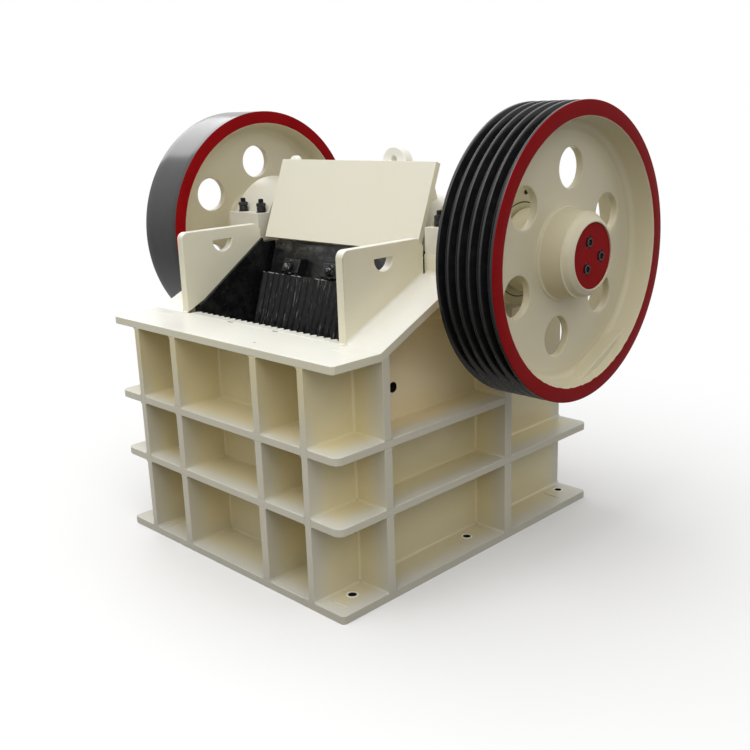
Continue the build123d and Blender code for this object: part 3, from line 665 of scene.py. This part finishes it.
def sector_loop(low, high, half_angle, counts):
    """Angle and radius round the border of a ring sector: outer arc, side, inner arc, side."""
    arc_out, along, arc_in = counts
    outer = np.linspace(-half_angle, half_angle, arc_out, endpoint=False)
    inner = np.linspace(half_angle, -half_angle, arc_in, endpoint=False)
    down = np.linspace(high, low, along, endpoint=False)
    up = np.linspace(low, high, along, endpoint=False)
    angle = np.concatenate([outer, np.full(along, half_angle), inner, np.full(along, -half_angle)])
    radius = np.concatenate([np.full(arc_out, high), down, np.full(arc_in, low), up])
    return angle, radius


def holed_sector(loop, centre_angle, circle, hole, edge, front, back, side):
    """Ring sector with a round hole: rings run from the front border through the hole and back."""
    angle, radius = loop
    border = np.stack([radius * np.cos(angle), radius * np.sin(angle)], axis=1)
    middle = np.array([circle, 0.0])
    outward = border - middle
    outward /= np.linalg.norm(outward, axis=1)[:, None]
    lip = middle + outward * (hole + edge)
    rings, depth = [], []
    for share in np.linspace(0, 1, 6):
        rings.append(border + (lip - border) * share)
        depth.append(front)
    for turn in np.linspace(0, pi / 2, 5)[1:]:
        rings.append(middle + outward * (hole + edge * (1 - sin(turn))))
        depth.append(front - edge * (1 - cos(turn)))
    rings += rings[::-1]
    depth += [front + back - value for value in depth[::-1]]
    flat = np.stack(rings)
    points = round_shaft(np.array(depth)[:, None], flat[..., 0], flat[..., 1], centre_angle, side)
    return points, grid_faces(len(rings), len(angle))


def hub_profile(web_front):
    """Open section of the hub from the front of the web, over the nose, to the back of the web."""
    web_back = web_front - web_thickness
    return rounded([
        (web_front, hub_joint, 0),
        (web_front, hub_foot, 0.0025),
        (web_front + 0.0045, hub_foot - 0.001, 0.0018),
        (web_front + 0.0060, hub_foot - 0.0085, 0.0040),
        (rim_high.x - 0.0050, 0.1268, 0.0010),
        (rim_high.x - 0.0035, hub_collar, 0.0010),
        (rim_high.x - 0.0010, hub_collar, 0.0010),
        (rim_high.x + 0.0010, 0.1225, 0.0015),
        (hub_nose - 0.0110, 0.1150, 0.0080),
        (hub_nose, 0.1015, 0.0030),
        (hub_nose, hub_mouth, 0.0008),
        (cover_low, hub_mouth, 0),
        (cover_low, seat_radius, 0),
        (hub_back, seat_radius, 0.001),
        (hub_back, 0.1280, 0.005),
        (web_back, 0.1360, 0.012),
        (web_back, hub_joint, 0),
    ], closed=False)


def wheel_web(node, side, web_front, first_hole):
    """Flat web with six round holes, and the hub with its flared foot and rounded nose."""
    web_back = web_front - web_thickness
    loop = sector_loop(hub_joint, web_joint, radians(30), (40, 14, 24))
    grids = []
    for number in range(6):
        centre = radians(first_hole - 60 * number)
        grids.append(holed_sector(loop, centre, hole_circle, hole_radius, hole_edge,
                                  web_front, web_back, side))
    start = radians(first_hole - 30)
    grids.append(turned(hub_profile(web_front), full_turn(144, start), side))
    strip = np.array([(web_front, web_joint), (web_back, web_joint)])
    grids.append(turned(strip, full_turn(240, start), side))
    add_piece(node + "_cast", grids, "rotor", shaded_wheel_cream, 40, [node])


def balance_weight(name, side, web_front):
    """Segment in the rim: rings between the chord and the arc, rounded along the chord."""
    half, middle = radians(21.5), radians(-65.5)
    chord = ring_inner * cos(half)
    along = np.linspace(-1, 1, 61) * ring_inner * sin(half)
    arc = np.sqrt((ring_inner + 0.001) ** 2 - along ** 2)
    face, back, edge = web_front + weight_thickness, web_front - 0.001, 0.004
    turns = np.linspace(0, pi / 2, 5)
    depth = np.concatenate([[face], face - edge * (1 - np.cos(turns)), [back, back]])
    inset = np.concatenate([[0], edge * (1 - np.sin(turns)), [0, 0]])
    share = np.concatenate([[1.0], np.zeros(len(turns)), [0.0, 1.0]])
    radial = chord + (arc - chord)[:, None] * share[None]
    radial = np.minimum(radial + inset[None], arc[:, None])
    points = round_shaft(depth[None], radial, along[:, None], middle, side)
    faces = grid_faces(len(along), len(depth))
    add_piece(name, [(points, faces)], "rotor", shaded_wheel_cream)


def hub_cover(side):
    """Disc with three screw holes, softly rounded at its rim."""
    loop = sector_loop(0.0, cover_edge, radians(60), (48, 12, 1))
    grids = [holed_sector(loop, centre, screw_circle, screw_hole, 0.0012,
                          cover_high, cover_low, side) for centre in screw_angles]
    edge = rounded([
        (cover_high, cover_edge, 0),
        (cover_high - 0.0002, cover_radius, 0.0012),
        (cover_low, cover_radius, 0),
        (cover_low, cover_edge, 0),
    ], closed=False)
    grids.append(turned(edge, full_turn(144, radians(screw_turn - 60)), side))
    return grids


wheel_rim("pulley_rim", 1, pulley_web_front, grooved=True)
wheel_rim("flywheel_rim", -1, flywheel_web_front, grooved=False)
wheel_web("pulley_web", 1, pulley_web_front, first_hole=83)
wheel_web("flywheel_web", -1, flywheel_web_front, first_hole=86.5)
balance_weight("pulley_weight", 1, pulley_web_front)
balance_weight("flywheel_weight", -1, flywheel_web_front)
add_piece("hub_covers_painted", hub_cover(1) + hub_cover(-1), "rotor", red_enamel, 40,
          ["hub_covers"])


# Bolts
def hex_reach(angles):
    """Reach of a hexagon of unit inner radius in each direction."""
    step = 2 * pi / 6
    return 1 / np.cos((angles + step / 2) % step - step / 2)


def fastener(rings, place, axis, turn=0.0, thread=None):
    """Rings of (height, radius, hexagonal share) round an axis, closed by a point at each end.

    A thread (low, high, radius, pitch, depth) adds a second surface: its radius swells with the
    cosine of height over pitch less the angle.
    """
    angles = full_turn(bolt_points)
    rings = np.array(rings, float)
    reach = 1 + rings[:, 2:3] * (hex_reach(angles)[None] - 1)
    radius = rings[:, 1:2] * reach
    height = np.broadcast_to(rings[:, 0:1], radius.shape)
    grids = [(height, radius)]
    if thread:
        low, high, core, pitch, depth = thread
        level = np.arange(low, high, pitch / 6)[:, None]
        wave = np.cos(2 * pi * level / pitch - angles[None])
        grids.append((np.broadcast_to(level, wave.shape), core + depth * wave / 2))
    axis = Vector(axis).normalized()
    first = axis.orthogonal().normalized()
    second = axis.cross(first)
    base = np.array([first, second, axis])
    result = []
    angles = angles + turn
    for height, radius in grids:
        local = np.stack([radius * np.cos(angles), radius * np.sin(angles), height], axis=2)
        local = np.concatenate([local[:1] * [0, 0, 1], local, local[-1:] * [0, 0, 1]])
        points = local @ base + np.array(place)
        result.append((points, grid_faces(len(points), bolt_points)))
    return result


def nut_rings(low, high, inner):
    """Chamfered hexagon between two heights."""
    chamfer = 0.12 * inner
    return [(low, inner, 0), (low + chamfer, inner * 1.02, 0.9), (low + chamfer, inner, 1),
            (high - chamfer, inner, 1), (high, inner * 0.96, 0)]


def stud_with_nuts(place, turn):
    """Washer, nut, lock nut and threaded stud, upright."""
    size, axis = 0.010, (0, 0, 1)
    flat = 1.5 * size
    washer = ((0, 1.9 * size, 0), (0.25 * size, 1.9 * size, 0), (0.3 * size, 1.85 * size, 0))
    stud = ((0, 0.8 * size, 0), (4.7 * size, 0.8 * size, 0), (4.9 * size, 0.65 * size, 0))
    grids = fastener(washer, place, axis)
    grids += fastener(nut_rings(0.3 * size, 1.95 * size, flat), place, axis, turn)
    grids += fastener(nut_rings(2.05 * size, 3.4 * size, flat), place, axis, turn + 0.4)
    grids += fastener(stud, place, axis,
                      thread=(3.3 * size, 4.7 * size, 0.95 * size, 0.0025, 0.0012))
    return grids


def socket_screw(place, axis, size):
    """Round head with a wide hexagonal socket."""
    rings = np.array([(0, 1, 0), (0.66, 1, 0), (0.74, 0.93, 0),
                      (0.74, 0.72, 0), (0.70, 0.60, 1), (0.1, 0.58, 1)])
    return fastener(rings * (size, size, 1), place, axis)


def bearing_studs():
    """Two studs on each foot of both bearing caps."""
    grids = []
    for side in (-1, 1):
        for foot_y in (cap_low.y + stud_inset, cap_high.y - stud_inset):
            for number, stud_x in enumerate(stud_columns):
                grids += stud_with_nuts((side * stud_x, foot_y, cap_foot_top), 0.3 + number)
    add_piece("bearing_studs", grids, "frame", dark, 30)


def cover_screws():
    """Three socket screws in each hub cover."""
    grids = []
    for side in (-1, 1):
        for angle in screw_angles:
            place = (side * cover_low, shaft_y + screw_circle * cos(angle),
                     shaft_z + screw_circle * sin(angle))
            grids += socket_screw(place, (side, 0, 0), screw_radius)
    add_piece("cover_screws", grids, "rotor", dark, 30)


def clamp_bolts():
    """Nut and stud on the face of each block over the moving jaw."""
    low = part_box("jaw_clamp_blocks")[0]
    normal = (0, -cos(jaw_lean), sin(jaw_lean))
    grids = []
    for number, middle in enumerate(clamp_columns):
        place = (middle, low.y + 0.0125, low.z + 0.036)
        grids += fastener([(0, 0.024, 0), (0.004, 0.024, 0), (0.0048, 0.0232, 0)], place, normal)
        grids += fastener(nut_rings(0.0048, 0.0200, 0.015), place, normal, 0.25 * number)
        grids += fastener([(0, 0.009, 0), (0.0255, 0.009, 0), (0.027, 0.0075, 0)], place, normal,
                          thread=(0.018, 0.0255, 0.0098, 0.0025, 0.001))
    add_piece("clamp_bolts", grids, "moving_jaw", glinting_steel, 30)


def bearing_bolts():
    """Hexagon heads round each bearing's end cover, clear of the joint between seat and cap."""
    grids = []
    for side in (-1, 1):
        for degrees in bearing_bolt_angles:
            angle = radians(degrees)
            place = (side * housing_high.x, shaft_y + bearing_bolt_circle * cos(angle),
                     shaft_z + bearing_bolt_circle * sin(angle))
            grids += fastener(nut_rings(0, 0.0060, 0.0060), place, (side, 0, 0), 0.2)
    add_piece("bearing_bolts", grids, "frame", dark, 30)


def collar(place, profile):
    """Closed profile of radius and height carried round an upright axis."""
    radius, height = np.array(profile).T
    angles = full_turn(bolt_points)[:, None]
    x = place[0] + radius * np.cos(angles)
    y = place[1] + radius * np.sin(angles)
    z = np.broadcast_to(place[2] + height, x.shape)
    return np.stack([x, y, z], axis=2), grid_faces(bolt_points, len(radius), wrap_rows=True)


def anchor_rims():
    """Low rim round each anchor hole."""
    profile = ((0.0134, -0.0008), (0.0134, 0.0006), (0.0146, 0.0016),
               (0.0172, 0.0016), (0.0192, 0.0004), (0.0192, -0.0008))
    grids = [collar((side * anchor_x, row, plate), profile)
             for side in (-1, 1) for row in anchor_rows]
    add_piece("anchor_rims", grids, "frame", paint, 40)


bearing_studs()
cover_screws()
clamp_bolts()
bearing_bolts()
anchor_rims()


# Welds
weld_step, weld_row, weld_taper = 0.0105, 0.0035, 0.006
weld_hollow = 0.62


def bead(start, end, first, second, leg, seed, open_start=False, open_end=False):
    """Fillet along a straight corner: a hollow quarter round whose leg ripples with each step.

    Rows run along the corner and columns across the fillet; the last column is the corner itself.
    A closed end tapers to nothing, and an open end is cut square.
    """
    start, end, first, second = np.array((start, end, first, second), float)
    length = np.linalg.norm(end - start)
    along = np.linspace(0, length, max(6, int(length / weld_row)))
    ripple = 0.030 * np.sin(2 * pi * along / weld_step + seed)
    drift = 0.09 * np.sin(along * 23 + seed * 1.7) + 0.06 * np.sin(along * 61 + seed * 2.9)
    size = leg * (1 + ripple + drift)
    if not open_start:
        size *= np.clip(along / weld_taper, 0.02, 1)
    if not open_end:
        size *= np.clip((length - along) / weld_taper, 0.02, 1)
    turn = np.linspace(0, pi / 2, 6)
    flat = np.linspace(1, 0, 6)
    on_first = weld_hollow * (1 - np.sin(turn)) + (1 - weld_hollow) * flat
    on_second = weld_hollow * (1 - np.cos(turn)) + (1 - weld_hollow) * (1 - flat)
    section = on_first[:, None] * first + on_second[:, None] * second
    sunk = -0.06 * (first + second)
    section = np.concatenate([section, sunk[None]])
    spine = start + (end - start) * (along / length)[:, None]
    points = spine[:, None] + size[:, None, None] * section[None]
    heart = points.mean(axis=1, keepdims=True)[[0, -1]]
    caps = np.broadcast_to(heart, (2, len(section), 3))
    points = np.concatenate([caps[:1], points, caps[1:]])
    return points, grid_faces(len(points), len(section))


class WeldSet:
    """Collects the beads of one side of the frame."""

    def __init__(self, leg=0.006):
        self.leg = leg
        self.grids = []

    def run(self, start, end, first, second, leg=None, **ends):
        seed = 1.3 * len(self.grids)
        self.grids.append(bead(start, end, first, second, leg or self.leg, seed, **ends))

    def mirrored_run(self, start, end, first, second, leg=None, **ends):
        """The same bead on both sides of the frame."""
        self.run(start, end, first, second, leg, **ends)
        self.run(*np.array((start, end, first, second)) * (-1, 1, 1), leg, **ends)

    def pocket(self, axis, mouth, back, across, levels, closed_sides=(True, True), roof=True):
        """All inner corners of a pocket that opens along an axis (0 for X, 1 for Y)."""
        other = 1 - axis
        inward = 1 if back > mouth else -1

        def point(deep, wide, high):
            place = [0.0, 0.0, high]
            place[axis], place[other] = deep, wide
            return place

        def way(deep=0, wide=0, high=0):
            return point(deep * -inward, wide, high)

        low, high = levels
        left, right = across
        walls = [(left, 1)] * closed_sides[0] + [(right, -1)] * closed_sides[1]
        floors = [(low, 1)] + [(high, -1)] * roof
        for level, up in floors:
            self.run(point(back, left, level), point(back, right, level), way(deep=1), way(high=up))
            for wall, side in walls:
                self.run(point(mouth, wall, level), point(back, wall, level), way(wide=side),
                         way(high=up), open_start=True)
        for wall, side in walls:
            self.run(point(back, wall, low), point(back, wall, high), way(deep=1), way(wide=side))

    def add(self, name, material):
        add_piece(name, self.grids, "frame", material, 38)


def ridge(start, end, width, height):
    """Low half-round bead on a level plate, whose ends taper away."""
    start, end = np.array((start, end))
    along = np.linspace(0, 1, 24)
    swell = np.sqrt(np.clip(1 - np.abs(2 * along - 1) ** 7, 0.01, 1))
    swell *= 1 + 0.12 * np.sin(17 * along)
    turn = full_turn(14)[:, None]
    across = np.cross((0, 0, 1), (end - start) / np.linalg.norm(end - start))
    section = np.cos(turn) * width / 2 * across + np.sin(turn) * height * np.array((0, 0, 1))
    spine = start + (end - start) * along[:, None]
    points = spine[:, None] + swell[:, None, None] * section
    ends = np.broadcast_to(spine[[0, -1], None], (2, len(section), 3))
    points = np.concatenate([ends[:1], points, ends[1:]])
    return points, grid_faces(len(points), len(section))


def anchor_beads():
    """Short bead across the flange ahead of each anchor hole, where the plate is joined."""
    inner, outer, ahead, width, height = 0.448, 0.520, 0.062, 0.007, 0.003
    grids = [ridge((side * inner, row - ahead, plate), (side * outer, row - ahead, plate),
                   width, height) for row in anchor_rows for side in (-1, 1)]
    add_piece("anchor_beads", grids, "frame", frame_cream, 50)


rows = ((plate, mid_low.z), (mid_high.z, upper_low.z), (upper_high.z, deck_low.z))
columns = ((-side_low.x, -rib_outer), (-rib_inner, rib_inner), (rib_outer, side_low.x))


def front_welds():
    """Three columns of pockets in front of the wall."""
    welds = WeldSet()
    for column in columns:
        for row in rows:
            welds.pocket(1, front_y, wall_face_y, column, row)
    return welds


def side_welds(side):
    """Pockets between the flanges on one side, from the front corner to the rear edge."""
    welds = WeldSet()
    run = welds.run
    outer, wall, inward = side * half_width, side * side_high.x, (side, 0, 0)
    front_end, rear_start, rear_end = side_rib_back_y, rear_rib_front_y, side_rib_rear_y
    for low, high in rows:
        welds.pocket(1, front_y, side_rib_front_y, sorted((wall, outer)), (low, high),
                     closed_sides=(side > 0, side < 0))
    for low, high in rows[:2]:
        welds.pocket(0, outer, wall, (front_end, rear_start), (low, high))
    low = rows[2][0]
    run((wall, front_end, low), (wall, rear_start, low), inward, (0, 0, 1))
    run((outer, front_end, low), (wall, front_end, low), (0, 1, 0), (0, 0, 1), open_start=True)
    run((outer, rear_start, low), (wall, rear_start, low), (0, -1, 0), (0, 0, 1), open_start=True)
    run((wall, front_end, low), (wall, front_end, side_rib_top), inward, (0, 1, 0))
    run((wall, rear_start, low), (wall, rear_start, shelf_low.z), inward, (0, -1, 0))
    for low, high, roof in ((*rows[0], True), (mid_high.z, shelf_low.z, False)):
        run((wall, rear_end, low), (wall, rear_y, low), inward, (0, 0, 1), open_end=True)
        run((wall, rear_end, low), (wall, rear_end, high), inward, (0, 1, 0))
        run((outer, rear_end, low), (wall, rear_end, low), (0, 1, 0), (0, 0, 1), open_start=True)
        if roof:
            run((wall, rear_end, high), (wall, rear_y, high), inward, (0, 0, -1), open_end=True)
            run((outer, rear_end, high), (wall, rear_end, high), (0, 1, 0), (0, 0, -1),
                open_start=True)
    run((wall, front_end, slope_joint_low), (wall, housing_low.y, slope_joint_high), inward,
        (0, sin(cap_slope), -cos(cap_slope)))
    run((wall, shelf_low.y, shelf_low.z), (wall, shelf_high.y, shelf_low.z), inward, (0, 0, -1))
    return welds


def rear_welds():
    """Pockets behind the rear wall, the upper row open at its top."""
    welds = WeldSet()
    for column in columns:
        welds.pocket(1, rear_y, rear_face_y, column, rows[0])
        welds.pocket(1, rear_y, rear_face_y, column, (mid_high.z, rear_wall_top), roof=False)
    return welds


def top_welds():
    """Cheek plates on the deck and slopes, and the slopes against the housings."""
    welds = WeldSet(0.009)

    def cap_height(y):
        return deck_high.z + max(0.0, y - cap_bend_y) * tan(cap_slope)

    up = (0, -sin(cap_slope), cos(cap_slope))
    start = (cheek_high.x, cheek_low.y, cap_height(cheek_low.y))
    end = (cheek_high.x, cheek_high.y, cap_height(cheek_high.y))
    welds.mirrored_run(start, end, (1, 0, 0), up, 0.010)
    front = cheek_low.y
    level = cap_height(front)
    welds.mirrored_run((cheek_low.x, front, level), (cheek_high.x, front, level), (0, -1, 0),
                       (0, 0, 1), 0.006)
    joint = cap_height(housing_low.y)
    welds.mirrored_run((housing_low.x, housing_low.y, joint), (half_width, housing_low.y, joint),
                       (0, 0, 1), (0, -cos(cap_slope), -sin(cap_slope)), 0.009, open_end=True)
    return welds


front_welds().add("front_welds", frame_cream)
side_welds(1).add("right_welds", frame_cream)
side_welds(-1).add("left_welds", frame_cream)
rear_welds().add("rear_welds", frame_cream)
top_welds().add("top_welds", paint)
anchor_beads()


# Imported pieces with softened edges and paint
finishes = (
    (deck_cream, 0.002, "deck_plate slope_cap_left slope_cap_right"),
    (paint, 0.0035, "cheek_plate_left cheek_plate_right"),
    (paint, 0.004, "bearing_seat_left bearing_seat_right pitman_ribs"),
    (paint, 0.003, "pitman_barrel toggle_beam"),
    (paint, 0.0022, "guard_plate"),
    (shaded_cap_paint, 0.005, "bearing_cap_left bearing_cap_right"),
    (bearing_cream, 0.0022, "bearings"),
    (lit_eye_paint, 0.008, "lifting_eyes"),
    (slab_finish, 0.004, "pitman_slab"),
    (tooth_black, 0.0032, "moving_jaw_plate"),
    (fixed_jaw_finish, 0.0018, "fixed_jaw_plate"),
    (liner_black, 0.002, "side_liner_left side_liner_right"),
    (jaw_black, 0.004, "jaw_clamp_blocks"),
    (dark, 0.002, "toggle_plate"),
    (dark, 0.003, "toggle_block"),
    (dark, 0.0012, "tension_rod"),
    (dark, 0.0, "tension_spring"),
    (steel, 0.002, "eccentric_shaft"),
)
finish_of = {node: (material, edge) for material, edge, nodes in finishes for node in nodes.split()}
turned_nodes = ("pulley_rim", "pulley_web", "flywheel_rim", "flywheel_web", "hub_covers")
for node in frame["nodes"]:
    if node not in turned_nodes:
        material, edge = finish_of.get(node, (frame_cream, 0.0022))
        dress(node, material, edge, segments=4 if node == "lifting_eyes" else 2)


# Camera at the photograph's angle
camera_place = Vector((2.361046, -2.258034, 1.412617))
camera_yaw, camera_pitch, camera_roll = -0.789436, -0.269539, -0.033775
focal_pixels, picture_pixels = 956.4606, 750


def add_camera():
    """Camera axes from yaw about Z, pitch over the horizon and roll about the line of sight."""
    ahead = Vector((sin(camera_yaw) * cos(camera_pitch),
                    cos(camera_yaw) * cos(camera_pitch), sin(camera_pitch)))
    level = Vector((cos(camera_yaw), -sin(camera_yaw), 0))
    upright = level.cross(ahead)
    right = cos(camera_roll) * level + sin(camera_roll) * upright
    up = -sin(camera_roll) * level + cos(camera_roll) * upright
    camera = bpy.data.objects.new("camera", bpy.data.cameras.new("camera"))
    axes = Matrix((right, up, -ahead)).transposed().to_4x4()
    camera.matrix_world = Matrix.Translation(camera_place) @ axes
    camera.data.sensor_width = 36
    camera.data.lens = focal_pixels * camera.data.sensor_width / picture_pixels
    bpy.context.collection.objects.link(camera)
    bpy.context.scene.camera = camera


# Studio
dome_horizon, dome_zenith = 0.28, 1.00
softbox_distance = 4.5
floor_dark, floor_grey, floor_pale = (0.09, 0.08, 0.06), (0.10, 0.09, 0.07), (0.93, 0.93, 0.93)
white_from, white_to = 0.9, 2.4


def white_for_sight(tree, lit, bright):
    """Mix of two shaders: the bright one for camera, glossy and transmission rays."""
    path = tree.node("ShaderNodeLightPath").outputs
    seen = tree.math("MAXIMUM", path["Is Camera Ray"], path["Is Glossy Ray"])
    seen = tree.math("MAXIMUM", seen, path["Is Transmission Ray"])
    return tree.mix(seen, lit, bright)


def add_world():
    """Soft dome that is brightest overhead; the camera and reflections see plain white."""
    world = bpy.data.worlds.new("studio")
    bpy.context.scene.world = world
    tree = Nodes(world, "Generated")
    height = tree.node("ShaderNodeMapRange", Value=tree.axes()[2], To_Min=dome_horizon,
                       To_Max=dome_zenith)
    dome = tree.nodes["Background"]
    tree.put(dome.inputs["Color"], (1, 1, 1, 1))
    tree.put(dome.inputs["Strength"], height.outputs["Result"])
    backdrop = tree.node("ShaderNodeBackground", Color=(1, 1, 1, 1), Strength=1.0)
    shown = white_for_sight(tree, dome.outputs[0], backdrop.outputs[0])
    tree.put(tree.nodes["World Output"].inputs["Surface"], shown)


def add_floor():
    """Pale floor to the horizon that throws little light back up at the frame."""
    size = 60.0
    mesh = bpy.data.meshes.new("floor")
    mesh.from_pydata([(-size, -size, 0), (size, -size, 0), (size, size, 0), (-size, size, 0)], [],
                     [(0, 1, 2, 3)])
    tree = Tree("floor_grey")
    tree.set(Base_Color=tree.blend(tree.noise(0.8, 2.0), floor_dark, floor_grey), Roughness=0.9)
    pale = tree.node("ShaderNodeBsdfDiffuse", Color=(*floor_pale, 1))
    white = tree.node("ShaderNodeEmission", Strength=1.0)
    x, y, _ = tree.axes()
    far = tree.ramp(tree.distance(x, y), white_from, white_to)
    far = tree.mix(far, pale.outputs[0], white.outputs[0])
    shown = white_for_sight(tree, tree.shader.outputs[0], far)
    tree.put(tree.nodes["Material Output"].inputs["Surface"], shown)
    mesh.materials.append(tree.material)
    floor = bpy.data.objects.new("floor", mesh)
    bpy.context.collection.objects.link(floor)


def add_softbox(name, power, size, elevation, azimuth):
    """Square lamp aimed at the machine; its azimuth is 0 at +Y and 90 at +X, in degrees."""
    light = bpy.data.lights.new(name, "AREA")
    light.energy = power
    light.size = size
    lamp = bpy.data.objects.new(name, light)
    lamp.visible_camera = False
    turn, rise = radians(azimuth), radians(elevation)
    towards = Vector((sin(turn) * cos(rise), cos(turn) * cos(rise), sin(rise)))
    lamp.location = Vector((0, 0, 0.7)) + softbox_distance * towards
    lamp.rotation_euler = towards.to_track_quat("Z", "Y").to_euler()
    bpy.context.collection.objects.link(lamp)


add_camera()
add_world()
add_floor()
add_softbox("front", power=66, size=3.0, elevation=60, azimuth=175)
add_softbox("right", power=26, size=2.6, elevation=34, azimuth=124)
add_softbox("far", power=40, size=2.6, elevation=42, azimuth=280)
bpy.context.scene.view_settings.view_transform = "Standard"
